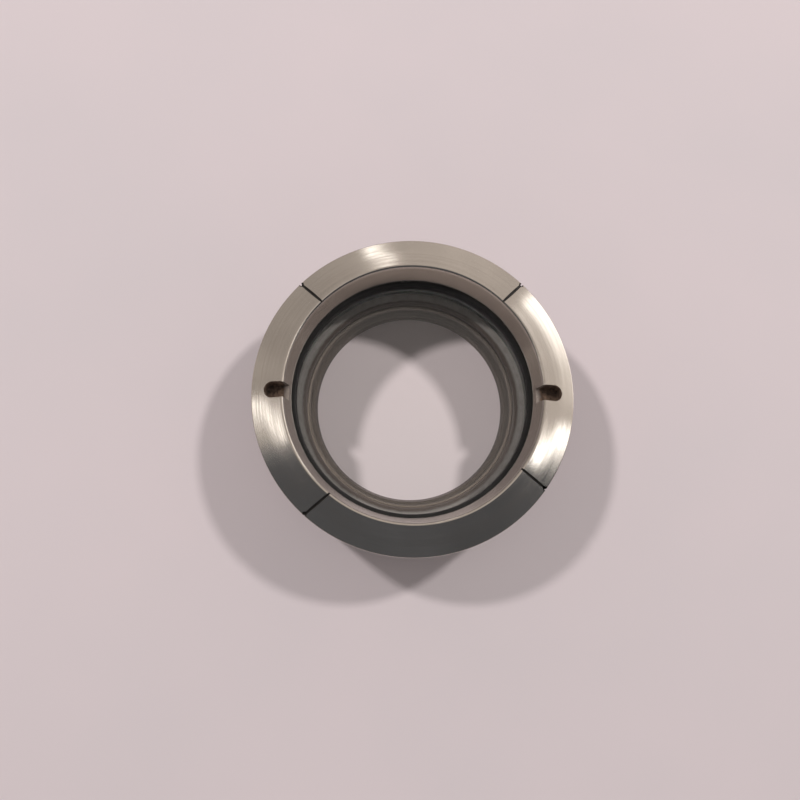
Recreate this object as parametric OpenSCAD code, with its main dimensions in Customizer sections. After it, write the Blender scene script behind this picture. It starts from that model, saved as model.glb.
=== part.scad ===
// Screwed sight glass for a vessel wall: a weld-in body, a glass disc between two gaskets,
// and a round clamp nut with a sloping face that is turned with a two-pin face spanner.
// Origin: centre of the underside. +Z runs along the line of sight, towards the viewer.

/* [View] */
// Diameter of the clear opening at the underside of the body
view_d = 81; // [78:0.5:82]
// Diameter of the stepped bore below the glass
bore_d = 85.8; // [85:0.2:86.4]
// Thickness of the tapered lip at the foot of the bore
foot_lip_t = 2.8; // [2:0.1:4]
// Diameter of the glass disc
glass_d = 100; // [98:0.5:101]
// Thickness of the glass disc
glass_t = 15; // [10:0.5:20]
// Width of the ground chamfer round the glass disc
glass_chamfer = 1; // [0.5:0.1:2]

/* [Gaskets] */
// Inner diameter of the gasket under the glass
seat_gasket_id = 88.7; // [88:0.1:92]
// Thickness of the gasket under the glass
seat_gasket_t = 3; // [1.5:0.5:4]
// Inner diameter of the black gasket on top of the glass
top_gasket_id = 94.4; // [90:0.2:96]
// Thickness of the black gasket on top of the glass
top_gasket_t = 5; // [2:0.5:6]
// Wall thickness of the sleeve that centres the glass
sleeve_t = 1; // [0.5:0.1:1]
// Section diameter of the O-ring under the nut
seal_section_d = 2.5; // [2:0.1:2.6]

/* [Clamp nut] */
// Outer diameter of the nut
nut_d = 128; // [127:0.5:136]
// Diameter of the lip where the sloping face meets the mouth
lip_d = 102.2; // [101:0.1:106]
// Diameter of the mouth's lower edge
mouth_d = 97.8; // [96.5:0.1:99]
// Depth of the mouth, lip to slip ring
mouth_h = 10.6; // [9:0.2:14]
// Drop of the face from the lip to the rim
face_drop = 4.9; // [3:0.1:7]
// Rounding of the lip
lip_round = 0.9; // [0.4:0.1:1.2]
// Rounding of the rim
rim_round = 0.6; // [0.3:0.1:1]

/* [Spanner slots] */
// Width of each slot
slot_w = 6; // [4:0.5:7]
// Diameter over the round ends of the two slots
slot_over_d = 117; // [112:0.2:118]
// Depth of the slot floor below the lip
slot_depth = 8; // [5:0.5:8.5]

/* [Index lines] */
// Width of the lines cut across the face
line_w = 0.8; // [0.4:0.1:1.2]
// Depth of the lines
line_depth = 0.6; // [0.3:0.1:0.8]
// Diameter of the drilled dot at the outer end of each line
dot_d = 1.8; // [1:0.1:2]

/* [Thread] */
// Outside diameter of the thread between nut and body
thread_d = 118; // [117.6:0.1:118.6]
// Depth of the thread form
thread_depth = 1.8; // [1.4:0.1:1.9]
// Radial clearance between the body and the nut's pilot bore
pilot_gap = 0.08; // [0.03:0.01:0.1]

/* [Body] */
// Diameter of the weld flange
flange_d = 127; // [126.8:0.1:127.6]
// Thickness of the weld flange
flange_t = 8; // [7:0.5:9]
// Thickness of the floor that carries the glass
floor_t = 9; // [7:0.5:12]
// Bevel for the weld at the bottom edge
weld_bevel = 2.5; // [1:0.5:3]

/* [Slip ring] */
// Thickness of the steel slip ring
slip_t = 2.6; // [2.4:0.1:3.2]
// Wire diameter of the clip that keeps the slip ring in the nut
clip_wire_d = 1.1; // [0.8:0.1:1.2]

/* [Lock screws] */
// Diameter of the lock screws
screw_d = 4; // [3:0.5:5]
// Size of their hexagon socket across flats
socket_af = 2; // [1.5:0.5:2.5]
// Height of the lock screws above the underside
screw_z = 18; // [15:0.5:22]

/* [Hidden] */
$fn = 180;

gap = 0.05;          // assembly gap between pieces that lie against each other
edge = 0.5;          // small chamfer on turned edges
soft_edge = 0.4;     // small chamfer on gasket edges and on the seat
cut = 1;             // how far a cutting shape runs past the surface it cuts

glass_r = glass_d / 2;
pocket_r = glass_r + sleeve_t + 2 * gap;
view_r = view_d / 2;
bore_r = bore_d / 2;
foot_lip_r = view_r + 0.9;           // the lip's bore widens upwards to this radius
lip_r = lip_d / 2;
mouth_r = mouth_d / 2;
nut_r = nut_d / 2;
thread_r = thread_d / 2;
root_r = thread_r - thread_depth;
nut_bore_r = thread_r + gap;
flange_r = flange_d / 2;

glass_z = floor_t + seat_gasket_t;
top_gasket_z = glass_z + glass_t;
slip_z = top_gasket_z + top_gasket_t;
mouth_z = slip_z + slip_t;
lip_z = mouth_z + mouth_h;
rim_z = lip_z - face_drop;
body_top_z = slip_z - 1;             // the gasket stands proud of the body, so the nut squeezes it
ceiling_z = slip_z + 0.4;            // inside top of the nut, above the body
skirt_z = flange_t + seal_section_d / 5;
pilot_z = body_top_z - 3;            // lower end of the nut's pilot bore

relief_w = 2;                        // run-out groove at the foot of the body's thread
relief_depth = 0.8;
seal_r = (nut_bore_r + flange_r) / 2;
seal_groove_w = 1.1 * seal_section_d;
seal_groove_depth = 0.8 * seal_section_d;

recess_r = pocket_r + gap;           // recess in the nut that holds the slip ring
clip_r = recess_r - gap;
clip_z = mouth_z - slip_t / 2;
clip_gap_angle = 24;                 // opening of the wire clip

face_run = nut_r - lip_r;
face_angle = atan(face_drop / face_run);
face_length = norm([face_run, face_drop]);
// Each line's direction round the axis, and how far it is turned away from a true radius
INDEX_LINES = [[46, 0], [136, 0], [230, -10], [324, 0]];

pad_t = 1.3;
pad_r = nut_bore_r + gap;            // inner face of the lock pads
screw_r = pad_r + pad_t + gap;       // inner end of the lock screws
screw_l = nut_r - screw_r - 0.4;
socket_depth = 1.8;

function unit(v) = v / norm(v);

// Points of an arc of radius r that rounds the corner p between the points a and b
function rounded(a, p, b, r, steps = 6) =
    let (
        u = unit(a - p),
        v = unit(b - p),
        half = acos(u * v) / 2,
        centre = p + unit(u + v) * r / sin(half),
        from = p + u * r / tan(half) - centre,
        to = p + v * r / tan(half) - centre,
        start = atan2(from.y, from.x),
        turn = (atan2(to.y, to.x) - start + 540) % 360 - 180
    )
    [for (i = [0:steps]) centre + r * [cos(start + turn * i / steps), sin(start + turn * i / steps)]];

// A flat ring with chamfered edges
module ring(inner_r, outer_r, z, height, chamfer) {
    rotate_extrude()
        polygon([
            [inner_r + chamfer, z],
            [outer_r - chamfer, z],
            [outer_r, z + chamfer],
            [outer_r, z + height - chamfer],
            [outer_r - chamfer, z + height],
            [inner_r + chamfer, z + height],
            [inner_r, z + height - chamfer],
            [inner_r, z + chamfer]
        ]);
}

// Cylinder that lies along a radius, from r_from to r_to
module radial_cylinder(r_from, r_to, d, sides = $fn) {
    translate([r_from, 0, screw_z])
        rotate([0, 90, 0])
            cylinder(h = r_to - r_from, d = d, $fn = sides);
}

module weld_body() {
    color("lightsteelblue")
        rotate_extrude()
            polygon([
                [view_r, edge],
                [view_r + edge, 0],
                [flange_r - weld_bevel, 0],
                [flange_r, weld_bevel],
                [flange_r, flange_t - edge],
                [flange_r - edge, flange_t],
                [seal_r + seal_groove_w / 2, flange_t],
                [seal_r + seal_groove_w / 2, flange_t - seal_groove_depth],
                [seal_r - seal_groove_w / 2, flange_t - seal_groove_depth],
                [seal_r - seal_groove_w / 2, flange_t],
                [root_r - relief_depth, flange_t],
                [root_r - relief_depth, flange_t + relief_w],
                [root_r, flange_t + relief_w + relief_depth],
                [root_r, body_top_z - edge],
                [root_r - edge, body_top_z],
                [pocket_r + edge, body_top_z],
                [pocket_r, body_top_z - edge],
                [pocket_r, floor_t],
                [bore_r + soft_edge, floor_t],
                [bore_r, floor_t - soft_edge],
                [bore_r, foot_lip_t],
                [foot_lip_r, foot_lip_t]
            ]);
}

module seat_gasket() {
    color("dimgray")
        ring(seat_gasket_id / 2, pocket_r - gap, floor_t + gap, seat_gasket_t - 2 * gap, soft_edge);
}

module glass_disc() {
    color("paleturquoise", 0.4)
        rotate_extrude()
            polygon([
                [0, glass_z],
                [glass_r - glass_chamfer, glass_z],
                [glass_r, glass_z + glass_chamfer],
                [glass_r, top_gasket_z - glass_chamfer],
                [glass_r - glass_chamfer, top_gasket_z],
                [0, top_gasket_z]
            ]);
}

module centring_sleeve() {
    color("whitesmoke")
        ring(glass_r + gap, pocket_r - gap, glass_z + edge, glass_t - 2 * edge, sleeve_t / 4);
}

module top_gasket() {
    color("black")
        ring(top_gasket_id / 2, pocket_r - gap, top_gasket_z + gap, top_gasket_t - 2 * gap, soft_edge);
}

module skirt_seal() {
    color("black")
        rotate_extrude()
            translate([seal_r, skirt_z - seal_section_d / 2])
                circle(d = seal_section_d);
}

module slip_ring() {
    color("silver")
        rotate_extrude()
            difference() {
                polygon([
                    [mouth_r, slip_z],
                    [clip_r - gap, slip_z],
                    [clip_r - gap, mouth_z - gap],
                    [mouth_r, mouth_z - gap]
                ]);
                translate([clip_r, clip_z])
                    circle(d = clip_wire_d + 4 * gap);
            }
}

module slip_clip() {
    color("gray")
        rotate_extrude(angle = 360 - clip_gap_angle)
            translate([clip_r, clip_z])
                circle(d = clip_wire_d);
}

// Slot for one pin of the face spanner, open to the mouth, with a round outer end
module spanner_slot() {
    end_r = slot_over_d / 2 - slot_w / 2;
    translate([0, 0, lip_z - slot_depth]) {
        translate([mouth_r - cut, -slot_w / 2, 0])
            cube([end_r - mouth_r + cut, slot_w, slot_depth + cut]);
        translate([end_r, 0, 0])
            cylinder(h = slot_depth + cut, d = slot_w);
    }
}

// Line cut down the sloping face and over the rim to the lock screw, with a dot at the rim
module index_line(skew) {
    translate([lip_r, 0, lip_z])
        rotate([0, face_angle, 0]) {
            translate([face_length / 2, 0, 0])
                rotate([0, 0, skew])
                    translate([-face_length / 2 - cut, -line_w / 2, -line_depth])
                        cube([face_length + 2 * cut, line_w, line_depth + cut]);
            translate([face_length - 0.4 * dot_d, face_length / 2 * tan(skew), -dot_d / 2])
                cylinder(h = dot_d, d = dot_d);
        }
    translate([nut_r - line_depth, face_length / 2 * tan(skew) - line_w / 2, screw_z])
        cube([line_depth + cut, line_w, rim_z - screw_z]);
}

module nut_profile() {
    lip = [lip_r, lip_z];
    rim = [nut_r, rim_z];
    difference() {
        polygon(concat(
            [
                [mouth_r, mouth_z],
                [recess_r, mouth_z],
                [recess_r, ceiling_z],
                [root_r + pilot_gap, ceiling_z],
                [root_r + pilot_gap, pilot_z],
                [nut_bore_r, pilot_z - thread_depth],
                [nut_bore_r, skirt_z + edge],
                [nut_bore_r + edge, skirt_z],
                [nut_r - edge, skirt_z],
                [nut_r, skirt_z + edge]
            ],
            rounded([nut_r, skirt_z], rim, lip, rim_round),
            rounded(rim, lip, [mouth_r, mouth_z], lip_round)
        ));
        translate([clip_r, clip_z])
            circle(d = clip_wire_d + 4 * gap);
    }
}

module clamp_nut() {
    color("silver")
        difference() {
            rotate_extrude()
                nut_profile();
            for (side = [0, 180])
                rotate([0, 0, side])
                    spanner_slot();
            for (line = INDEX_LINES)
                rotate([0, 0, line[0]]) {
                    index_line(line[1]);
                    radial_cylinder(thread_r - cut, nut_r + cut, screw_d + 2 * gap);
                }
        }
}

module lock_screws() {
    color("slategray")
        for (line = INDEX_LINES)
            rotate([0, 0, line[0]])
                difference() {
                    radial_cylinder(screw_r, screw_r + screw_l, screw_d);
                    radial_cylinder(
                        screw_r + screw_l - socket_depth, screw_r + screw_l + cut,
                        socket_af / cos(30), 6
                    );
                }
}

module lock_pads() {
    color("goldenrod")
        for (line = INDEX_LINES)
            rotate([0, 0, line[0]])
                radial_cylinder(pad_r, pad_r + pad_t, screw_d - 4 * gap);
}

weld_body();
seat_gasket();
glass_disc();
centring_sleeve();
top_gasket();
skirt_seal();
slip_ring();
slip_clip();
clamp_nut();
lock_screws();
lock_pads();
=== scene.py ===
"""Looks for the screwed sight glass: turned steel rings, a glass disc, gaskets, real threads, studio light.

Lengths in the profile functions are millimetres, as on a workshop drawing, and MM turns them into metres.
"""

import math

import bmesh
import bpy
import numpy as np
from mathutils import Matrix, Vector


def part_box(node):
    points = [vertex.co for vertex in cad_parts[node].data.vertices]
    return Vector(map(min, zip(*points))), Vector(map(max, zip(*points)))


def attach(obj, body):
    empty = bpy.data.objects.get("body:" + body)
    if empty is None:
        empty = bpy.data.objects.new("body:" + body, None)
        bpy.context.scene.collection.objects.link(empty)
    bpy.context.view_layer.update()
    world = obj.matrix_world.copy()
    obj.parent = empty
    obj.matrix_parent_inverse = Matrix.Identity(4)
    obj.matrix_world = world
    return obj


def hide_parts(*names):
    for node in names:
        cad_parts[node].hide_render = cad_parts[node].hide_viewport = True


MM = 0.001
SEGMENTS = 384          # steps round a turned part
ARC_STEPS = 5           # steps in a rounded corner

# Sizes that the frame's boxes don't give, in mm
GAP = 0.05              # between parts that touch
PILOT_GAP = 0.08        # between the nut's pilot bore and the body's rim
LIP_R = 51.1            # where the nut's sloping face meets its mouth
LIP_ROUND = 0.9
RIM_ROUND = 0.6
FACE_DROP = 4.9         # from the lip down to the rim
CROWN = 0.2             # the sloping face is very slightly domed
CROWN_ROUND = 85
MOUTH_H = 10.6          # from the slip ring up to the lip
SLOT_W = 6.0
SLOT_OVER_R = 58.5      # over the round ends of the spanner slots
SLOT_DEPTH = 8.0
LINE_W = 0.8
LINE_DEPTH = 0.6
DOT_D = 1.8
THREAD_R = 59.0
THREAD_DEPTH = 1.8
THREAD_LOW = 11.8       # the body's thread ridge starts and ends at these heights
THREAD_HIGH = 24.8
THREAD_STEPS = 192      # a turn
PITCH = 3.0
FLANK_ANGLE = math.radians(30)
SCREW_PITCH = 0.7
SCREW_STEPS = 48
SOCKET_AF = 2.0         # lock screws' hexagon socket, across flats
PAD_T = 1.3
CLIP_GROOVE_R = 0.65
CLIP_REACH = 336        # degrees of its circle that the wire clip covers
BORE_R = 42.9           # stepped bore below the glass, and the tapered lip at its foot
FOOT_LIP_R = 41.4
FOOT_LIP_T = 2.8

# Azimuth and skew of the four index lines, in degrees
INDEX_LINES = ((46, 0), (136, 0), (230, -10), (324, 0))


# ---------------------------------------------------------------- frame

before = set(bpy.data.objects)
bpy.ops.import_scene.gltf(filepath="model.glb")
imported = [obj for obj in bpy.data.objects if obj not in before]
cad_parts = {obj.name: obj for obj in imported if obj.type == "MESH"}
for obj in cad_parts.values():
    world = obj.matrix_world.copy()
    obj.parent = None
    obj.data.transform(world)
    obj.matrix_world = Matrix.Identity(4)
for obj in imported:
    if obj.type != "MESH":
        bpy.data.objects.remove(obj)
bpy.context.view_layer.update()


def radii(node):
    """Smallest and largest distance of a CAD node from the axis, in mm."""
    co = np.array([v.co[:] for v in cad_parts[node].data.vertices])
    r = np.hypot(co[:, 0], co[:, 1]) / MM
    return float(r.min()), float(r.max())


def heights(node):
    """Lowest and highest z of a CAD node, in mm."""
    low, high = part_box(node)
    return low.z / MM, high.z / MM


VIEW_R, FLANGE_R = radii("weld_body")
MOUTH_R, NUT_R = radii("clamp_nut")
GLASS_R = radii("glass_disc")[1]
SEAT_R, PACK_R = radii("seat_gasket")
POCKET_R = PACK_R + GAP
BODY_TOP = heights("weld_body")[1]
SKIRT_Z = heights("clamp_nut")[0]
SLIP_LOW, SLIP_HIGH = heights("slip_ring")
MOUTH_Z = SLIP_HIGH + GAP
LIP_Z = MOUTH_Z + MOUTH_H
RIM_Z = LIP_Z - FACE_DROP
SCREW_R = (heights("lock_screws")[1] - heights("lock_screws")[0]) / 2
SCREW_Z = sum(heights("lock_screws")) / 2
CLIP_Z = sum(heights("slip_clip")) / 2
ROOT_R = THREAD_R - THREAD_DEPTH
NUT_BORE_R = THREAD_R + GAP
PAD_R = NUT_BORE_R + GAP
SCREW_LOW = PAD_R + PAD_T + GAP
SCREW_LENGTH = NUT_R - 0.4 - SCREW_LOW
FACE_LENGTH = math.hypot(FACE_DROP, NUT_R - LIP_R)


# ---------------------------------------------------------------- meshes

def soften(corners):
    """Rounds the corners (r, z, radius) of a counter-clockwise outline.

    Returns the points, and each point's normal on the stretch before it and on the stretch after it.
    """
    points, before, after = [], [], []
    count = len(corners)
    for i, (r, z, radius) in enumerate(corners):
        p = np.array((r, z))
        a, b = np.array(corners[i - 1][:2]), np.array(corners[(i + 1) % count][:2])
        u, v = (p - a) / np.linalg.norm(p - a), (b - p) / np.linalg.norm(b - p)
        n_in, n_out = np.array((u[1], -u[0])), np.array((v[1], -v[0]))
        turn = math.atan2(u[0] * v[1] - u[1] * v[0], u @ v)
        if not radius or abs(turn) < 0.02:
            points.append(p)
            before.append(n_in)
            after.append(n_out)
            continue
        convex = 1 if turn > 0 else -1
        start = p - u * radius * abs(math.tan(turn / 2))
        centre = start - convex * radius * n_in
        for k in range(ARC_STEPS + 1):
            angle = math.atan2(n_in[1], n_in[0]) + turn * k / ARC_STEPS
            n = np.array((math.cos(angle), math.sin(angle)))
            points.append(centre + convex * radius * n)
            before.append(n)
            after.append(n)
    return np.array(points), np.array(before), np.array(after)


def set_normals(mesh, normals):
    mesh.shade_smooth()
    mesh.normals_split_custom_set([tuple(n) for n in normals])


def make_object(name, verts, faces):
    mesh = bpy.data.meshes.new(name)
    mesh.from_pydata([tuple(v) for v in verts], [], faces)
    mesh.validate()
    obj = bpy.data.objects.new(name, mesh)
    bpy.context.scene.collection.objects.link(obj)
    return obj


def lathe(name, corners, segments=SEGMENTS, exact_normals=True):
    """Solid of revolution about Z from an outline in mm. An outline that touches the axis closes on it."""
    points, before, after = soften(corners)
    count = len(points)
    angles = [2 * math.pi * s / segments for s in range(segments)]
    spokes = [(math.cos(a), math.sin(a)) for a in angles]
    verts, index = [], []
    for r, z in points * MM:
        if r < 1e-9:
            index.append([len(verts)] * segments)
            verts.append((0, 0, z))
        else:
            index.append(range(len(verts), len(verts) + segments))
            verts += [(r * c, r * s, z) for c, s in spokes]
    faces, normals = [], []
    for k in range(count):
        j = (k + 1) % count
        if len(set(index[k])) == 1 and len(set(index[j])) == 1:
            continue
        for s in range(segments):
            t = (s + 1) % segments
            loop = [(k, s), (k, t), (j, t), (j, s)]
            face = []
            for ring, step in loop:
                vertex = index[ring][step]
                if vertex in face:
                    continue
                face.append(vertex)
                n = after[k] if ring == k else before[j]
                normals.append((n[0] * spokes[step][0], n[0] * spokes[step][1], n[1]))
            faces.append(face)
    obj = make_object(name, verts, faces)
    if exact_normals:
        set_normals(obj.data, normals)
    else:
        obj.data.shade_smooth()
    return obj


def prism(name, outline, low, high):
    """Upright prism over a flat counter-clockwise outline, in mm."""
    count = len(outline)
    verts = [(x * MM, y * MM, z * MM) for z in (low, high) for x, y in outline]
    faces = [[i, (i + 1) % count, count + (i + 1) % count, count + i] for i in range(count)]
    faces += [list(range(count))[::-1], list(range(count, 2 * count))]
    return make_object(name, verts, faces)


def sweep(name, rings):
    """Closed skin over a row of rings that each hold the same number of points, in metres."""
    size = len(rings[0])
    verts = [p for ring in rings for p in ring]
    faces = []
    for i in range(len(rings) - 1):
        for k in range(size):
            a, b = i * size + k, i * size + (k + 1) % size
            faces.append([a, b, b + size, a + size])
    faces += [list(range(size))[::-1], [(len(rings) - 1) * size + k for k in range(size)]]
    obj = make_object(name, verts, faces)
    bm = bmesh.new()
    bm.from_mesh(obj.data)
    bmesh.ops.recalc_face_normals(bm, faces=bm.faces)
    bm.to_mesh(obj.data)
    bm.free()
    return obj


def join(objects):
    """Merges objects of one material each into the first one, as separate shells of one mesh."""
    bm = bmesh.new()
    materials = []
    for obj in objects:
        obj.data.transform(obj.matrix_world)
        obj.matrix_world = Matrix.Identity(4)
        material = obj.data.materials[0] if obj.data.materials else None
        if material not in materials:
            materials.append(material)
        count = len(bm.faces)
        bm.from_mesh(obj.data)
        bm.faces.ensure_lookup_table()
        for face in bm.faces[count:]:
            face.material_index = materials.index(material)
    first = objects[0]
    first.data.materials.clear()
    for material in materials:
        first.data.materials.append(material)
    bm.to_mesh(first.data)
    bm.free()
    for obj in objects[1:]:
        bpy.data.objects.remove(obj)
    return first


def combine(obj, other, operation):
    """Boolean of obj with other, which is used up. Cut faces take the cutter's material."""
    mod = obj.modifiers.new("combine", "BOOLEAN")
    mod.object = other
    mod.operation = operation
    mod.solver = "EXACT"
    mod.material_mode = "TRANSFER"
    bpy.context.view_layer.update()
    shaped = bpy.data.meshes.new_from_object(obj.evaluated_get(bpy.context.evaluated_depsgraph_get()))
    obj.modifiers.clear()
    obj.data = shaped
    bpy.data.objects.remove(other)


def flank_normals(places, face_normal):
    """Normals, at these points, of the thread flank that looks the same way as face_normal.

    They are exact for the main thread. The lock screws' finer one takes them too, where they come close.
    """
    r = np.hypot(places[:, 0], places[:, 1])[:, None]
    out = places[:, :2] / r
    around = np.column_stack([-out[:, 1], out[:, 0]])
    up = math.copysign(1, face_normal[2])
    side = math.copysign(math.tan(FLANK_ANGLE), (out.mean(0) * face_normal[:2]).sum())
    lead = PITCH / (2 * math.pi * r)
    normals = np.column_stack([side * out - up * lead * around, np.full(len(places), up)])
    return normals / np.linalg.norm(normals, axis=1)[:, None]


def read_vectors(items, name):
    """One vector property of every item of a mesh's collection, as rows."""
    values = np.zeros(len(items) * 3)
    items.foreach_get(name, values)
    return values.reshape(-1, 3)


def turned_normals(obj, corners):
    """Gives the faces that still lie on the turned outline its exact normals, and thread flanks theirs.

    Other faces keep smooth normals with sharp edges.
    """
    tolerance = 0.02
    mesh = obj.data
    mesh.shade_smooth()
    mesh.set_sharp_from_angle(angle=math.radians(35))
    normals = np.array([c.vector[:] for c in mesh.corner_normals])
    points, before, after = soften(corners)
    span = np.roll(points, -1, axis=0) - points
    length2 = (span**2).sum(1)
    start_n, end_n = after, np.roll(before, -1, axis=0)
    span_n = start_n + end_n
    span_n /= np.linalg.norm(span_n, axis=1)[:, None]
    co = read_vectors(mesh.vertices, "co") / MM
    rz = np.stack([np.hypot(co[:, 0], co[:, 1]), co[:, 2]], 1)
    face_n = read_vectors(mesh.polygons, "normal")
    centre = read_vectors(mesh.polygons, "center") / MM
    out = centre[:, :2] / np.maximum(np.hypot(centre[:, 0], centre[:, 1]), 1e-9)[:, None]
    flat_n = np.stack([(face_n[:, :2] * out).sum(1), face_n[:, 2]], 1)
    for f, poly in enumerate(mesh.polygons):
        loops = list(poly.loop_indices)
        vs = list(poly.vertices)
        p = rz[vs]
        t = np.clip(((p[:, None] - points) * span).sum(2) / length2, 0, 1)
        off = np.linalg.norm(p[:, None] - (points + t[..., None] * span), axis=2).max(0)
        off[span_n @ flat_n[f] < 0.97] = np.inf
        best = int(off.argmin())
        if off[best] > tolerance:
            flank = flank_normals(co[vs], face_n[f])
            if (flank @ face_n[f]).mean() >= 0.98:
                normals[loops] = flank
            continue
        w = t[:, best][:, None]
        n = start_n[best] * (1 - w) + end_n[best] * w
        n /= np.linalg.norm(n, axis=1)[:, None]
        away = co[vs][:, :2] / np.maximum(p[:, :1], 1e-9)
        normals[loops] = np.column_stack([away * n[:, :1], n[:, 1]])
    set_normals(mesh, normals)


def thread_ridge(name, base_r, crest_r, low, high, pitch, steps):
    """Right-hand thread ridge, in mm: a trapezoid swept up a helix, fading in and out at its ends."""
    fade = 0.3              # of a turn
    turns = (high - low) / pitch
    crest_half = 0.06 * pitch
    sink = 0.05 * pitch if crest_r > base_r else -0.05 * pitch
    rings = []
    for i in range(int(turns * steps) + 1):
        turn = i / steps
        lift = min(1, (turn + 0.02) / fade, (turns - turn + 0.02) / fade)
        top = base_r + (crest_r - base_r) * lift
        flank = abs(top - base_r + sink) * math.tan(FLANK_ANGLE)
        angle = 2 * math.pi * turn
        c, s = math.cos(angle), math.sin(angle)
        z = low + pitch * turn
        corners = [
            (base_r - sink, z - crest_half - flank), (top, z - crest_half),
            (top, z + crest_half), (base_r - sink, z + crest_half + flank),
        ]
        rings.append([(r * c * MM, r * s * MM, h * MM) for r, h in corners])
    return sweep(name, rings)


# ---------------------------------------------------------------- shader helpers

def node(tree, kind, inputs=None, **settings):
    """Adds a shader node. An input is a plain value or another node's output."""
    made = tree.nodes.new(kind)
    for key, value in settings.items():
        setattr(made, key, value)
    for key, value in (inputs or {}).items():
        if isinstance(value, bpy.types.NodeSocket):
            tree.links.new(value, made.inputs[key])
        else:
            made.inputs[key].default_value = value
    return made


def math_node(tree, operation, a, b=0.0):
    return node(tree, "ShaderNodeMath", {0: a, 1: b}, operation=operation).outputs[0]


def ramp(tree, value, low, high, out_low, out_high):
    made = node(tree, "ShaderNodeMapRange", {0: value, 1: low, 2: high, 3: out_low, 4: out_high})
    return made.outputs[0]


def blend_colour(tree, factor, first, second):
    made = node(tree, "ShaderNodeMix", data_type="RGBA")
    for socket, value in ((made.inputs["Factor"], factor), (made.inputs[6], first), (made.inputs[7], second)):
        if isinstance(value, bpy.types.NodeSocket):
            tree.links.new(value, socket)
        else:
            socket.default_value = value if isinstance(value, float) else (*value, 1)
    return made.outputs[2]


def tinted(tree, colour, amount):
    return node(tree, "ShaderNodeVectorMath", {0: colour, 3: amount}, operation="SCALE").outputs[0]


def noise(tree, vector, scale, detail=3.0, roughness=0.6):
    made = node(
        tree, "ShaderNodeTexNoise",
        {"Vector": vector, "Scale": scale, "Detail": detail, "Roughness": roughness},
    )
    return made.outputs["Fac"]


def new_material(name):
    mat = bpy.data.materials.new(name)
    mat.use_nodes = True
    tree = mat.node_tree
    shader = tree.nodes["Principled BSDF"]
    place = node(tree, "ShaderNodeTexCoord").outputs["Object"]
    return mat, tree, shader, place


def connect(tree, shader, **inputs):
    for key, value in inputs.items():
        socket = shader.inputs[key.replace("_", " ")]
        if isinstance(value, bpy.types.NodeSocket):
            tree.links.new(value, socket)
        else:
            socket.default_value = value


def polar(tree, place):
    """Radius, angle and height of the shaded point about the Z axis."""
    split = node(tree, "ShaderNodeSeparateXYZ", {0: place})
    flat = node(tree, "ShaderNodeCombineXYZ", {0: split.outputs[0], 1: split.outputs[1]})
    radius = node(tree, "ShaderNodeVectorMath", {0: flat.outputs[0]}, operation="LENGTH").outputs["Value"]
    angle = math_node(tree, "ARCTAN2", split.outputs[1], split.outputs[0])
    return radius, angle, split.outputs[2]


# ---------------------------------------------------------------- materials

def turned_steel(
    name, colour, dark, roughness, anisotropy, groove=1.0, streaks=0.25,
    painted_shade_r=0.0, painted_shade=(0.30, 0.265, 0.215),
):
    """Metal with the fine rings that a lathe tool leaves, slightly uneven in sheen and tint.

    Inside a given radius, in mm, its colour is darkened towards a given colour: this is painted shade in
    hollows such as the nut's mouth and the body's bore.
    """
    mat, tree, shader, place = new_material(name)
    radius, angle, height = polar(tree, place)
    stretched = math_node(tree, "MULTIPLY", angle, 0.0004)
    along = node(tree, "ShaderNodeCombineXYZ", {0: radius, 1: stretched, 2: height}).outputs[0]
    fine = noise(tree, along, 7000, 2)
    broad = noise(tree, along, 900, 2)
    cloud = noise(tree, place, 45, 4)
    rings = math_node(tree, "ADD", fine, math_node(tree, "MULTIPLY", broad, 1.2))
    bump = node(tree, "ShaderNodeBump", {"Height": rings, "Strength": 0.12 * groove, "Distance": 0.00004})
    tangent = node(tree, "ShaderNodeTangent", direction_type="RADIAL", axis="Z").outputs[0]
    clouded = ramp(tree, cloud, 0.35, 0.7, 0.0, 0.35)
    shade = math_node(tree, "ADD", clouded, ramp(tree, broad, 0.45, 0.62, 0.0, streaks))
    grain = ramp(tree, noise(tree, place, 2200, 2), 0.3, 0.7, -0.12, 0.12)
    tint = blend_colour(tree, math_node(tree, "ADD", shade, grain), colour, dark)
    # Painted shade: within the given radius the colour is mostly the shade colour.
    painted_shade_mask = ramp(tree, radius, (painted_shade_r - 0.5) * MM, painted_shade_r * MM, 0.85, 0.0)
    tint = blend_colour(tree, painted_shade_mask, tint, painted_shade)
    ring_sheen = ramp(tree, broad, 0.3, 0.7, -0.04, 0.05)
    sheen = math_node(tree, "ADD", ring_sheen, ramp(tree, cloud, 0.3, 0.7, -0.03, 0.04))
    connect(
        tree, shader, Base_Color=tint, Metallic=1.0, Roughness=math_node(tree, "ADD", sheen, roughness),
        Anisotropic=anisotropy, Anisotropic_Rotation=0.25, Tangent=tangent, Normal=bump.outputs[0],
    )
    return mat


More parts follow.
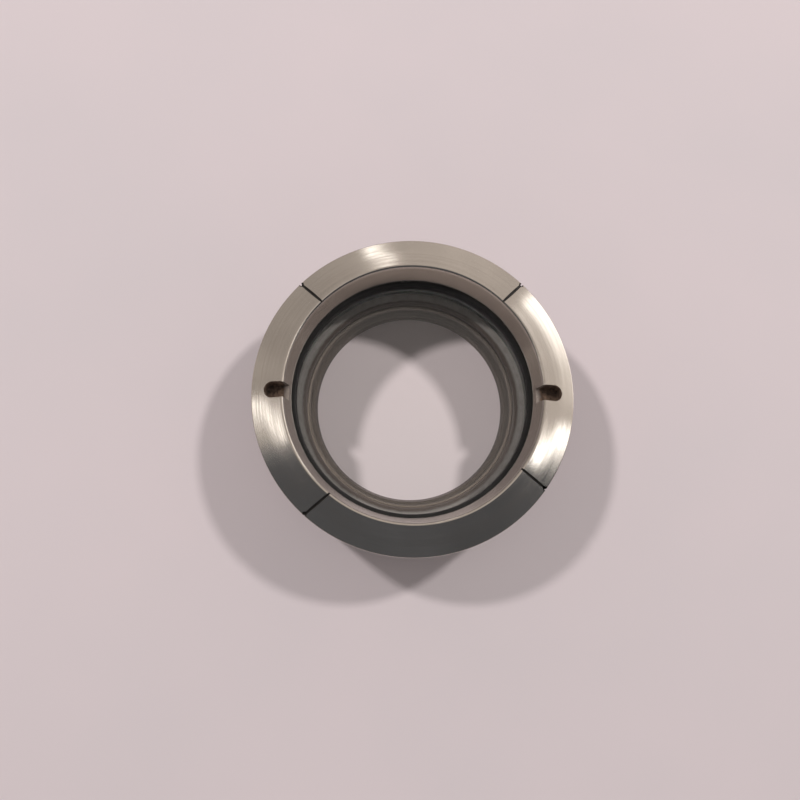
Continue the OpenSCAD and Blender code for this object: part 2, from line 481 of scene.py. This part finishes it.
def stained_steel(name, colour, dark, clean_r=0.0):
    """Rough, brown-black, patchy cut faces: old residue in the slots, a near-black colour in the index lines,
    dots and side runs. Within clean_r mm they are clean.
    """
    mat, tree, shader, place = new_material(name)
    patch = noise(tree, place, 900, 5, 0.7)
    grit = noise(tree, place, 4000, 3)
    radius, _, _ = polar(tree, place)
    reach = math_node(tree, "ADD", radius, ramp(tree, patch, 0.3, 0.7, -0.5 * MM, 0.5 * MM))
    bare = ramp(tree, reach, (clean_r - 0.8) * MM, (clean_r + 0.8) * MM, 1.0, 0.0)
    dark_tone = blend_colour(tree, ramp(tree, patch, 0.35, 0.65, 0.0, 1.0), dark, colour)
    bump = node(tree, "ShaderNodeBump", {"Height": patch, "Strength": 0.5, "Distance": 0.0001})
    rough = ramp(tree, grit, 0.3, 0.7, 0.45, 0.8)
    connect(
        tree, shader, Base_Color=blend_colour(tree, bare, dark_tone, (0.42, 0.38, 0.35)),
        Metallic=math_node(tree, "MAXIMUM", bare, ramp(tree, grit, 0.4, 0.7, 0.1, 0.5)),
        Roughness=math_node(tree, "SUBTRACT", rough, math_node(tree, "MULTIPLY", bare, 0.35)),
        Normal=bump.outputs[0],
    )
    return mat


def rubber(name, colour, bloom, roughness):
    """Moulded rubber: matt, with a faint dusty bloom and a fine skin."""
    mat, tree, shader, place = new_material(name)
    dust = noise(tree, place, 220, 5, 0.65)
    skin = noise(tree, place, 3500, 3)
    bump = node(tree, "ShaderNodeBump", {"Height": skin, "Strength": 0.15, "Distance": 0.00005})
    connect(
        tree, shader, Base_Color=blend_colour(tree, ramp(tree, dust, 0.45, 0.75, 0.0, 0.6), colour, bloom),
        Roughness=ramp(tree, dust, 0.3, 0.7, roughness, roughness + 0.15), Normal=bump.outputs[0],
        Specular_IOR_Level=0.4,
    )
    return mat


def seat_rubber(name, colour, dark_tone):
    """Grey gasket whose inner edge is painted dark brown: painted shade at its inner edge."""
    mat, tree, shader, place = new_material(name)
    radius, _, _ = polar(tree, place)
    cloud = noise(tree, place, 350, 4)
    reach = math_node(tree, "ADD", radius, ramp(tree, cloud, 0.3, 0.7, -0.3 * MM, 0.3 * MM))
    # Painted shade: towards the inner edge the colour goes over to the dark colour.
    bare = ramp(tree, reach, (SEAT_R + 1.2) * MM, (SEAT_R + 2.2) * MM, 0.0, 1.0)
    blotched = blend_colour(tree, ramp(tree, cloud, 0.4, 0.7, 0.0, 0.3), colour, dark_tone)
    bump = node(tree, "ShaderNodeBump", {"Height": cloud, "Strength": 0.2, "Distance": 0.00008})
    connect(
        tree, shader, Base_Color=blend_colour(tree, bare, dark_tone, blotched),
        Roughness=ramp(tree, cloud, 0.3, 0.7, 0.4, 0.55), Normal=bump.outputs[0],
    )
    return mat


def clear_glass(name, tint, roughness, grain=0.0):
    """Borosilicate glass. Lamps shine straight through it, so the paper below is lit as in life.

    They gain a little on the way, which stands in for the light that the bore mirrors down.
    """
    mirrored_gain = 1.14
    mat, tree, shader, place = new_material(name)
    connect(tree, shader, Base_Color=(*tint, 1), Roughness=roughness, IOR=1.473, Transmission_Weight=1.0)
    if grain:
        frost = noise(tree, place, 6000, 3)
        bump = node(tree, "ShaderNodeBump", {"Height": frost, "Strength": grain, "Distance": 0.00005})
        frosted = ramp(tree, frost, 0.3, 0.7, roughness, roughness + 0.2)
        connect(tree, shader, Normal=bump.outputs[0], Roughness=frosted)
    output = tree.nodes["Material Output"]
    path = node(tree, "ShaderNodeLightPath")
    through = node(tree, "ShaderNodeBsdfTransparent", {"Color": (*[mirrored_gain * c for c in tint], 1)})
    mixed = node(
        tree, "ShaderNodeMixShader",
        {0: path.outputs["Is Shadow Ray"], 1: shader.outputs[0], 2: through.outputs[0]},
    )
    tree.links.new(mixed.outputs[0], output.inputs["Surface"])
    return mat


def waxy_plastic(name, colour, shade):
    """Turned PTFE: white, slightly translucent, with faint marks."""
    mat, tree, shader, place = new_material(name)
    marks = noise(tree, place, 500, 4)
    bump = node(tree, "ShaderNodeBump", {"Height": marks, "Strength": 0.1, "Distance": 0.00005})
    connect(
        tree, shader, Base_Color=blend_colour(tree, ramp(tree, marks, 0.4, 0.7, 0.0, 0.5), colour, shade),
        Roughness=ramp(tree, marks, 0.3, 0.7, 0.3, 0.45), Subsurface_Weight=0.15, Subsurface_Scale=0.001,
        Normal=bump.outputs[0],
    )
    return mat


def paper(name, colour, shade):
    """Plain pale sheet: soft uneven tone and fine fibres."""
    mat, tree, shader, place = new_material(name)
    tone = noise(tree, place, 6, 3)
    fibre = noise(tree, place, 1400, 4, 0.7)
    bump = node(tree, "ShaderNodeBump", {"Height": fibre, "Strength": 0.08, "Distance": 0.0001})
    connect(
        tree, shader, Base_Color=blend_colour(tree, ramp(tree, tone, 0.35, 0.65, 0.0, 1.0), colour, shade),
        Roughness=0.75, Specular_IOR_Level=0.25, Normal=bump.outputs[0],
    )
    return mat


# Painted shade: inside the lip the nut's mouth is painted a dull dark olive.
NUT_STEEL = turned_steel("nut_steel", (0.60, 0.56, 0.51), (0.46, 0.42, 0.38), 0.17, 0.6, painted_shade_r=LIP_R)
# Painted shade: everything of the body within the bore's radius, below the glass, is painted near black.
BODY_STEEL = turned_steel(
    "body_steel", (0.35, 0.315, 0.28), (0.17, 0.14, 0.12), 0.16, 0.6, streaks=0.8,
    painted_shade_r=BORE_R + 0.6, painted_shade=(0.09, 0.077, 0.068),
)
SLIP_STEEL = turned_steel("slip_steel", (0.58, 0.56, 0.52), (0.46, 0.44, 0.40), 0.22, 0.5, 0.5)
CLIP_STEEL = turned_steel("clip_steel", (0.42, 0.42, 0.42), (0.3, 0.3, 0.3), 0.25, 0.2, 0.3)
SCREW_STEEL = turned_steel("screw_steel", (0.40, 0.40, 0.41), (0.28, 0.28, 0.28), 0.3, 0.2, 0.5)
PAD_BRASS = turned_steel("pad_brass", (0.75, 0.58, 0.28), (0.55, 0.40, 0.18), 0.3, 0.3, 0.6)
SLOT_STAIN = stained_steel("slot_stain", (0.20, 0.135, 0.095), (0.03, 0.021, 0.017), LIP_R - 0.3)
# Near-black cut faces of the index lines, dots and side runs.
LINE_DARK = stained_steel("line_dark", (0.05, 0.045, 0.04), (0.012, 0.011, 0.01))
BLACK_RUBBER = rubber("black_rubber", (0.012, 0.012, 0.012), (0.035, 0.035, 0.033), 0.45)
# Its second colour is painted shade at the gasket's inner edge.
SEAT_RUBBER = seat_rubber("seat_rubber", (0.25, 0.24, 0.225), (0.06, 0.045, 0.038))
GLASS = clear_glass("glass", (1.0, 1.0, 0.995), 0.0)
GROUND_GLASS = clear_glass("ground_glass", (0.55, 0.58, 0.56), 0.35, 0.3)
PTFE = waxy_plastic("sleeve_ptfe", (0.85, 0.85, 0.82), (0.74, 0.73, 0.69))
PAPER = paper("paper", (0.73, 0.65, 0.66), (0.70, 0.635, 0.645))


# ---------------------------------------------------------------- pieces

def finish_piece(obj, node_name, body):
    """Puts a piece in place of its CAD node."""
    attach(obj, body)
    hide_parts(node_name)


def paint(obj, *materials):
    obj.data.materials.clear()
    for material in materials:
        obj.data.materials.append(material)
    return obj


def half_round(r, z, radius, wall):
    """Outline corners, going down, of a half-round groove about (r, z) in a bore of radius wall."""
    start = math.acos((wall - r) / radius)
    angles = [start * (1 - k / 8) for k in range(17)]
    return [(r + radius * math.cos(a), z + radius * math.sin(a), 0) for a in angles]


def nut_outline():
    recess_r = POCKET_R + GAP
    pilot_r = ROOT_R + PILOT_GAP
    ceiling_z = SLIP_LOW + 0.4
    pilot_z = BODY_TOP - 3
    return [
        (MOUTH_R, MOUTH_Z, 0.2), (recess_r, MOUTH_Z, 0),
        *half_round(POCKET_R, CLIP_Z, CLIP_GROOVE_R, recess_r),
        (recess_r, ceiling_z, 0.2), (pilot_r, ceiling_z, 0), (pilot_r, pilot_z, 0.2),
        (NUT_BORE_R, pilot_z - THREAD_DEPTH, 0.2), (NUT_BORE_R, SKIRT_Z + 0.5, 0.1),
        (NUT_BORE_R + 0.5, SKIRT_Z, 0.1), (NUT_R - 0.5, SKIRT_Z, 0.1), (NUT_R, SKIRT_Z + 0.5, 0.1),
        (NUT_R, RIM_Z, RIM_ROUND),
        ((LIP_R + NUT_R) / 2, (LIP_Z + RIM_Z) / 2 + CROWN, CROWN_ROUND), (LIP_R, LIP_Z, LIP_ROUND),
    ]


def face_height(r):
    """Height of the nut's sloping face at a radius."""
    return LIP_Z - FACE_DROP * (max(r, LIP_R) - LIP_R) / (NUT_R - LIP_R)


def face_frame(azimuth):
    """Matrix of a frame on the sloping face: origin on the lip, X down the face, Z out of it. Metres."""
    slope = math.atan2(FACE_DROP, NUT_R - LIP_R)
    return (
        Matrix.Rotation(math.radians(azimuth), 4, "Z")
        @ Matrix.Translation((LIP_R * MM, 0, LIP_Z * MM))
        @ Matrix.Rotation(slope, 4, "Y")
    )


def slot_cutter(azimuth):
    """Spanner slot, open to the mouth, with a round outer end and a small chamfer along its top edge."""
    half = SLOT_W / 2
    end = SLOT_OVER_R - half
    floor_z = LIP_Z - SLOT_DEPTH
    outline = [(r, -half, 0, -1) for r in (MOUTH_R - 1, MOUTH_R + 1, LIP_R)]
    for k in range(33):
        a = math.pi * (k / 32 - 0.5)
        outline.append((end + half * math.cos(a), half * math.sin(a), math.cos(a), math.sin(a)))
    outline += [(r, half, 0, 1) for r in (LIP_R, MOUTH_R + 1, MOUTH_R - 1)]
    stations = (
        (-0.15, lambda r: floor_z), (0, lambda r: floor_z + 0.15), (0, lambda r: face_height(r) - 0.12),
        (0.4, lambda r: face_height(r) + 0.28), (0.4, lambda r: LIP_Z + 2),
    )
    rings = []
    for out, height in stations:
        ring = [(x + out * nx, y + out * ny, height(math.hypot(x, y))) for x, y, nx, ny in outline]
        rings.append([(x * MM, y * MM, z * MM) for x, y, z in ring])
    cutter = sweep("slot_cutter", rings)
    cutter.matrix_world = Matrix.Rotation(math.radians(azimuth), 4, "Z")
    return paint(cutter, SLOT_STAIN)


def line_cutter(azimuth, skew):
    """Scribed index line across the sloping face, with edges broken by a narrow chamfer."""
    reach = FACE_LENGTH / 2 + 1
    rings = []
    for out, z in ((-0.08, -LINE_DEPTH), (0, -0.5 * LINE_DEPTH), (0, -0.06), (0.36, 0.3), (0.36, 2)):
        half = LINE_W / 2 + out
        ends = ((-reach, -half), (reach, -half), (reach, half), (-reach, half))
        rings.append([(x * MM, y * MM, z * MM) for x, y in ends])
    cutter = sweep("line_cutter", rings)
    middle = Matrix.Translation((FACE_LENGTH / 2 * MM, 0, 0))
    cutter.matrix_world = face_frame(azimuth) @ middle @ Matrix.Rotation(math.radians(skew), 4, "Z")
    return paint(cutter, LINE_DARK)


def line_shift(skew):
    """How far a skewed line has moved sideways where it reaches the rim."""
    return FACE_LENGTH / 2 * math.tan(math.radians(skew))


def side_cutter(azimuth, skew):
    """The index line's run down the nut's side to the lock screw."""
    half = LINE_W / 2
    y = line_shift(skew)
    floor_r = NUT_R - LINE_DEPTH
    outline = [
        (floor_r, y - half), (NUT_R - 0.06, y - half), (NUT_R + 0.3, y - half - 0.36),
        (NUT_R + 0.3, y + half + 0.36), (NUT_R - 0.06, y + half), (floor_r, y + half),
    ]
    cutter = prism("side_cutter", outline, SCREW_Z, RIM_Z - 0.1)
    cutter.matrix_world = Matrix.Rotation(math.radians(azimuth), 4, "Z")
    return paint(cutter, LINE_DARK)


def round_cutter(name, stations, sides=48):
    """Round drill shape along Z from its (radius, height) stations."""
    angles = [2 * math.pi * k / sides for k in range(sides)]
    rings = [[(r * math.cos(a) * MM, r * math.sin(a) * MM, z * MM) for a in angles] for r, z in stations]
    return sweep(name, rings)


def dot_cutter(azimuth, skew):
    """Drilled dot at the outer end of an index line, with the drill's conical floor."""
    r = DOT_D / 2
    stations = [(0.05, -r - 0.3), (r, -r + 0.05), (r, -0.06), (r + 0.36, 0.3), (r + 0.36, 1.5)]
    cutter = round_cutter("dot_cutter", stations)
    place = Matrix.Translation(((FACE_LENGTH - 0.4 * DOT_D) * MM, line_shift(skew) * MM, 0))
    cutter.matrix_world = face_frame(azimuth) @ place
    return paint(cutter, LINE_DARK)


def radial_place(azimuth, r):
    """Matrix that lays a shape's Z axis along a radius at the lock screws' height, its origin at radius r."""
    return (
        Matrix.Rotation(math.radians(azimuth), 4, "Z")
        @ Matrix.Translation((r * MM, 0, SCREW_Z * MM))
        @ Matrix.Rotation(math.pi / 2, 4, "Y")
    )


def screw_hole_cutter(azimuth):
    r = SCREW_R + GAP
    cutter = round_cutter("hole_cutter", [(r, -6), (r, -0.25), (r + 0.5, 0.25), (r + 0.5, 1)])
    cutter.matrix_world = radial_place(azimuth, NUT_R)
    return paint(cutter, NUT_STEEL)


def make_nut():
    """Clamp nut: turned shape and internal thread, with slots, index lines, dots and screw holes cut in."""
    nut = paint(lathe("clamp_nut_turned", nut_outline()), NUT_STEEL)
    low, crest_r = THREAD_LOW - PITCH / 2, ROOT_R + 0.15
    thread = thread_ridge("nut_thread", NUT_BORE_R, crest_r, low, THREAD_HIGH, PITCH, THREAD_STEPS)
    combine(nut, paint(thread, NUT_STEEL), "UNION")
    face_cuts = [line_cutter(*line) for line in INDEX_LINES] + [slot_cutter(0), slot_cutter(180)]
    combine(nut, join(face_cuts), "DIFFERENCE")
    combine(nut, join([side_cutter(*line) for line in INDEX_LINES]), "DIFFERENCE")
    drills = [dot_cutter(*line) for line in INDEX_LINES]
    drills += [screw_hole_cutter(azimuth) for azimuth, _ in INDEX_LINES]
    combine(nut, join(drills), "DIFFERENCE")
    turned_normals(nut, nut_outline())
    finish_piece(nut, "clamp_nut", "nut")


def body_outline():
    floor_z = heights("seat_gasket")[0] - GAP
    seal_low, seal_high = heights("skirt_seal")
    seal_d = seal_high - seal_low
    flange_z = seal_high - seal_d / 5
    seal_r = sum(radii("skirt_seal")) / 2
    groove = 0.55 * seal_d
    foot_r = ROOT_R - 0.8
    return [
        (VIEW_R + 0.5, 0, 0), (FLANGE_R - 2.5, 0, 0.15), (FLANGE_R, 2.5, 0.15), (FLANGE_R, flange_z, 0.5),
        (seal_r + groove, flange_z, 0.15), (seal_r + groove, flange_z - 0.8 * seal_d, 0.2),
        (seal_r - groove, flange_z - 0.8 * seal_d, 0.2), (seal_r - groove, flange_z, 0.15),
        (foot_r, flange_z, 0.4), (foot_r, flange_z + 2, 0.3), (ROOT_R, flange_z + 2.8, 0.15),
        (ROOT_R, BODY_TOP, 0.5), (POCKET_R, BODY_TOP, 0.5), (POCKET_R, floor_z, 0.3),
        (BORE_R + 0.2, floor_z, 0.3), (BORE_R, floor_z - 0.4, 0.3), (BORE_R, FOOT_LIP_T, 0.25),
        (FOOT_LIP_R, FOOT_LIP_T, 0.2), (VIEW_R, 0.5, 0),
    ]


def make_body():
    """Body: turned shape and the external thread that the nut runs on."""
    body = paint(lathe("weld_body_turned", body_outline()), BODY_STEEL)
    thread = thread_ridge("body_thread", ROOT_R, THREAD_R, THREAD_LOW, THREAD_HIGH, PITCH, THREAD_STEPS)
    combine(body, paint(thread, BODY_STEEL), "UNION")
    turned_normals(body, body_outline())
    finish_piece(body, "weld_body", "body")


def bulged_ring(name, node_name, bulge, corner):
    """Squeezed rubber ring: its free inner wall bulges towards the axis."""
    inner, outer = radii(node_name)
    low, high = heights(node_name)
    middle, reach = (low + high) / 2, (high - low) / 2 - corner
    curve = (reach**2 + bulge**2) / (2 * bulge)
    shoulder = inner + bulge + corner
    corners = [(shoulder, low, corner * 0.6), (outer, low, corner)]
    corners += [(outer, high, corner), (shoulder, high, corner * 0.6)]
    for k in range(9):
        t = 1 - k / 4
        corners.append((inner + bulge * t * t, middle + reach * t, 0.3 if k in (0, 8) else 0.9 * curve))
    return lathe(name, corners)


def make_gaskets():
    top = paint(bulged_ring("top_gasket_moulded", "top_gasket", 0.25, 0.4), BLACK_RUBBER)
    finish_piece(top, "top_gasket", "body")
    seat = paint(bulged_ring("seat_gasket_moulded", "seat_gasket", 0.2, 0.35), SEAT_RUBBER)
    finish_piece(seat, "seat_gasket", "body")


def make_skirt_seal():
    """O-ring with the thin flash line that its mould leaves on the outside and on the inside."""
    inner, outer = radii("skirt_seal")
    low, high = heights("skirt_seal")
    r, z, radius = (inner + outer) / 2, (low + high) / 2, (outer - inner) / 2
    corners = []
    for k in range(48):
        a = 2 * math.pi * k / 48
        size = radius if k % 24 == 0 else radius - 0.04
        corners.append((r + size * math.cos(a), z + size * math.sin(a), 0))
    seal = lathe("skirt_seal_moulded", corners, exact_normals=False)
    finish_piece(paint(seal, BLACK_RUBBER), "skirt_seal", "body")


def make_glass():
    """Glass disc: two polished faces, and a ground edge with a ground chamfer on each side."""
    low, high = heights("glass_disc")
    corners = [
        (0, low, 0), (GLASS_R - 1, low, 0.1), (GLASS_R, low + 1, 0.15),
        (GLASS_R, high - 1, 0.15), (GLASS_R - 1, high, 0.1), (0, high, 0),
    ]
    glass = paint(lathe("glass_disc_polished", corners), GLASS, GROUND_GLASS)
    for face in glass.data.polygons:
        if math.hypot(*face.center[:2]) > (GLASS_R - 1) * MM:
            face.material_index = 1
    finish_piece(glass, "glass_disc", "body")


def make_sleeve():
    inner, outer = radii("centring_sleeve")
    low, high = heights("centring_sleeve")
    corners = [(inner, low, 0.25), (outer, low, 0.25), (outer, high, 0.25), (inner, high, 0.25)]
    sleeve = paint(lathe("centring_sleeve_moulded", corners), PTFE)
    finish_piece(sleeve, "centring_sleeve", "body")


def make_slip_ring():
    inner, outer = radii("slip_ring")
    corners = [(inner, SLIP_LOW, 0.25), (outer, SLIP_LOW, 0.15)]
    start = math.acos((outer - POCKET_R) / CLIP_GROOVE_R)
    for k in range(17):
        a = -start - (2 * math.pi - 2 * start) * k / 16
        corners.append((POCKET_R + CLIP_GROOVE_R * math.cos(a), CLIP_Z + CLIP_GROOVE_R * math.sin(a), 0))
    corners += [(outer, SLIP_HIGH, 0.15), (inner, SLIP_HIGH, 0.15)]
    slip = paint(lathe("slip_ring_ground", corners), SLIP_STEEL)
    finish_piece(slip, "slip_ring", "slip")


def make_slip_clip():
    """Wire clip: most of a circle, with slightly domed ends."""
    inner, outer = radii("slip_clip")
    radius = (outer - inner) / 2
    steps, sides = 192, 24
    angles = [2 * math.pi * k / sides for k in range(sides)]
    dome = 0.35             # degrees
    stations = [(0.0, 0.35), (0.04, 0.75), (0.12, 0.93), (0.25, 1.0)]
    spans = [(dome * x, size) for x, size in stations]
    spans += [(0.25 * dome + (CLIP_REACH - 0.5 * dome) * k / steps, 1.0) for k in range(1, steps)]
    spans += [(CLIP_REACH - dome * x, size) for x, size in reversed(stations)]
    rings = []
    for degrees, size in spans:
        t = math.radians(degrees)
        reach = radius * size
        section = [(POCKET_R + reach * math.cos(a), CLIP_Z + reach * math.sin(a)) for a in angles]
        rings.append([(r * math.cos(t) * MM, r * math.sin(t) * MM, z * MM) for r, z in section])
    clip = paint(sweep("slip_clip_wire", rings), CLIP_STEEL)
    clip.data.shade_smooth()
    clip.data.set_sharp_from_angle(angle=math.radians(50))
    finish_piece(clip, "slip_clip", "nut")


def socket_cutter():
    """Hexagon socket with a pointed floor and a chamfered mouth, at the outer end of a lock screw."""
    flats = [2 * math.pi * k / 6 for k in range(6)]
    key = SOCKET_AF / math.sqrt(3)
    depths = ((0.1, 2.1), (key, 1.8), (key, 0.12), (key + 0.32, -0.2))
    rings = [
        [(size * math.cos(a) * MM, size * math.sin(a) * MM, (SCREW_LENGTH - depth) * MM) for a in flats]
        for size, depth in depths
    ]
    return sweep("socket_cutter", rings)


def lock_screw():
    """Socket set screw with its own fine thread, along Z."""
    core, crest = SCREW_R - 0.35, SCREW_R - 0.01
    corners = [
        (0, 0, 0), (core - 0.35, 0, 0.1), (core, 0.35, 0.1),
        (core, SCREW_LENGTH - 0.3, 0.1), (core - 0.3, SCREW_LENGTH, 0.1), (0, SCREW_LENGTH, 0),
    ]
    screw = lathe("lock_screw", corners, 64)
    ridge = thread_ridge("screw_thread", core, crest, 0.55, SCREW_LENGTH - 0.45, SCREW_PITCH, SCREW_STEPS)
    combine(screw, ridge, "UNION")
    combine(screw, socket_cutter(), "DIFFERENCE")
    turned_normals(screw, corners)
    return paint(screw, SCREW_STEEL)


def lock_pad():
    """Soft brass disc with rounded edges, along Z."""
    edge = 0.2
    size = SCREW_R - 0.1
    corners = [(0, 0, 0), (size, 0, edge), (size, PAD_T, edge), (0, PAD_T, 0)]
    return paint(lathe("lock_pad", corners, 64), PAD_BRASS)


def make_screws():
    """The lock screws, and a pad under each."""
    for make, low, slot in ((lock_screw, SCREW_LOW, "screw_steel"), (lock_pad, PAD_R, "pad_brass")):
        for azimuth, _ in INDEX_LINES:
            piece = make()
            piece.name = f"{make.__name__}_{azimuth}"
            piece.data.transform(radial_place(azimuth, low))
            finish_piece(piece, f"{make.__name__}s", "nut")


# ---------------------------------------------------------------- studio

def make_floor():
    """Sheet of paper under the fitting."""
    half = 900
    floor = prism("floor", [(-half, -half), (half, -half), (half, half), (-half, half)], -2, -0.02)
    paint(floor, PAPER)


def add_lamp(name, place, aim, size, watts, colour):
    """Round soft lamp. Steel mirrors the cards in the surroundings instead of it."""
    data = bpy.data.lights.new(name, "AREA")
    data.shape = "DISK"
    data.size = size * MM
    data.energy = watts
    data.color = colour
    lamp = bpy.data.objects.new(name, data)
    lamp.location = Vector(place) * MM
    lamp.rotation_euler = (Vector(aim) * MM - lamp.location).to_track_quat("-Z", "Y").to_euler()
    lamp.visible_glossy = False
    lamp.visible_transmission = False
    bpy.context.scene.collection.objects.link(lamp)


def light_fitting():
    """Two lamps beyond the fitting, one at each side, so that their shadows cross at the near side."""
    side, back, height = 970, 680, 1460
    for name, x, colour in (("lamp_right", side, (1.0, 0.96, 0.95)), ("lamp_left", -side, (1.0, 0.95, 0.95))):
        add_lamp(name, (x, back, height), aim=(0, 0, 20), size=156, watts=13.4, colour=colour)


def card(tree, ray, azimuth, elevation, half_width, half_height, lean, soft):
    """Share of a soft-edged rectangular card in the surroundings that a ray meets. Angles in degrees."""
    az, el = math.radians(azimuth), math.radians(elevation)
    ahead = Vector((math.cos(az) * math.cos(el), math.sin(az) * math.cos(el), math.sin(el)))
    level = Vector((-math.sin(az), math.cos(az), 0))
    turned = math.radians(lean)
    right = level * math.cos(turned) + ahead.cross(level) * math.sin(turned)
    up = ahead.cross(right)

    def along(axis):
        return node(tree, "ShaderNodeVectorMath", {0: ray, 1: axis}, operation="DOT_PRODUCT").outputs["Value"]

    across = math_node(tree, "ABSOLUTE", math_node(tree, "ARCTAN2", along(right), along(ahead)))
    rise = math_node(tree, "ABSOLUTE", math_node(tree, "ARCSINE", along(up)))
    share = []
    for angle, half in ((across, half_width), (rise, half_height)):
        made = node(
            tree, "ShaderNodeMapRange",
            {0: angle, 1: math.radians(half - soft / 2), 2: math.radians(half + soft / 2), 3: 1.0, 4: 0.0},
            interpolation_type="SMOOTHSTEP",
        )
        share.append(made.outputs[0])
    return math_node(tree, "MULTIPLY", *share)


AMBIENT = (0.80, 0.76, 0.755)
CARD_COLOUR = (1.0, 0.97, 0.94)
CARDS = (
    # azimuth, elevation, half width, half height, lean, softness (degrees), and brightness
    (353, 37, 2.6, 10, 40, 3, 3.6),
    (27, 16, 20, 10, 10, 4, 2.2),
    (178, 42, 1.5, 10, -39, 2, 4.0),
    (98, 27, 2, 6, 37, 3, 2.7),
)


def make_surroundings():
    """Steel and glass mirror the cards and a dim room. Matt faces get a soft light, weaker from above."""
    world = bpy.data.worlds.new("surroundings")
    bpy.context.scene.world = world
    world.cycles.sampling_method = "NONE"
    world.use_nodes = True
    tree = world.node_tree
    ray = node(tree, "ShaderNodeTexCoord").outputs["Generated"]
    split = node(tree, "ShaderNodeSeparateXYZ", {0: ray})
    right_side = ramp(tree, split.outputs[0], -0.5, 0.3, 0.36, 0.58)
    near_side = ramp(tree, split.outputs[1], -0.22, -0.08, 0.0, 1.0)
    room = math_node(tree, "ADD", 0.11, math_node(tree, "MULTIPLY", near_side, right_side))
    room = math_node(tree, "MULTIPLY", room, ramp(tree, noise(tree, ray, 2.5, 2), 0.3, 0.7, 0.85, 1.18))
    cards = 0.0
    for azimuth, elevation, half_width, half_height, lean, soft, brightness in CARDS:
        share = card(tree, ray, azimuth, elevation, half_width, half_height, lean, soft)
        cards = math_node(tree, "ADD", cards, math_node(tree, "MULTIPLY", share, brightness))
    tone = blend_colour(tree, near_side, (0.94, 0.97, 1.05), (1.0, 0.90, 0.83))
    mirrored = node(
        tree, "ShaderNodeVectorMath",
        {0: tinted(tree, tone, room), 1: tinted(tree, CARD_COLOUR, cards)}, operation="ADD",
    ).outputs[0]
    path = node(tree, "ShaderNodeLightPath")
    scattered = math_node(tree, "GREATER_THAN", path.outputs["Diffuse Depth"], 0.5)
    soft_light = tinted(tree, AMBIENT, ramp(tree, split.outputs[2], 0.3, 0.7, 1.0, 0.19))
    colour = blend_colour(tree, scattered, mirrored, soft_light)
    tree.links.new(colour, tree.nodes["Background"].inputs["Color"])


def add_camera():
    """Camera almost straight above, leaning towards the near side."""
    eye = Vector((-14.85, -55.07, LIP_Z + 274.13)) * MM
    aim = Vector((-5.55, -3.86, LIP_Z)) * MM
    roll = 0.0063
    data = bpy.data.cameras.new("camera")
    data.sensor_width = 36
    data.lens = 32.35
    data.clip_start = 0.01
    look = (aim - eye).normalized()
    right = look.cross(Vector((0, 1, 0))).normalized()
    up = right.cross(look)
    axes = (
        right * math.cos(roll) + up * math.sin(roll),
        up * math.cos(roll) - right * math.sin(roll),
        -look,
    )
    camera = bpy.data.objects.new("camera", data)
    camera.matrix_world = Matrix.Translation(eye) @ Matrix(axes).transposed().to_4x4()
    bpy.context.scene.collection.objects.link(camera)
    bpy.context.scene.camera = camera


make_body()
make_gaskets()
make_glass()
make_sleeve()
make_skirt_seal()
make_slip_ring()
make_slip_clip()
make_nut()
make_screws()
make_floor()
light_fitting()
make_surroundings()
add_camera()
bpy.context.scene.view_settings.view_transform = "Standard"
